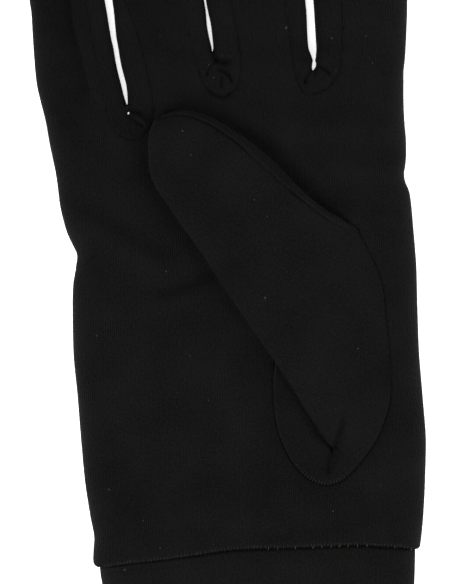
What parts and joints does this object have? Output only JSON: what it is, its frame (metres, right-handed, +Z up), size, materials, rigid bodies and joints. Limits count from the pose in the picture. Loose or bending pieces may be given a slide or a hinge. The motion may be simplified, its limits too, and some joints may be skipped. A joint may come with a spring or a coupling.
{
  "type": "wool glove",
  "caption": "Black fine-knit wool liner glove for a right hand, lying palm up with its thumb folded across the palm, side strips between the fingers and a plain cuff",
  "frame": {"origin": "middle of the glove's box, on the surface that it lies on", "axes": "+Z up out of the palm, +Y along the fingers, +X to the index finger's side"},
  "size_m": [0.1128, 0.2636, 0.0146],
  "materials": {
    "hand_jersey": "matt black wool jersey with fine upright ribs",
    "fourchette_jersey": "the same jersey, cut in narrow strips",
    "thumb_jersey": "the same jersey, its ribs along the thumb",
    "cuff_jersey": "the same jersey, a little darker and softer"
  },
  "bodies": {
    "root": {"hand_trank": "hand_jersey", "fourchette_little_ring": "fourchette_jersey", "fourchette_ring_middle": "fourchette_jersey", "fourchette_middle_index": "fourchette_jersey", "thumb": "thumb_jersey", "cuff": "cuff_jersey"}
  },
  "joints": []
}
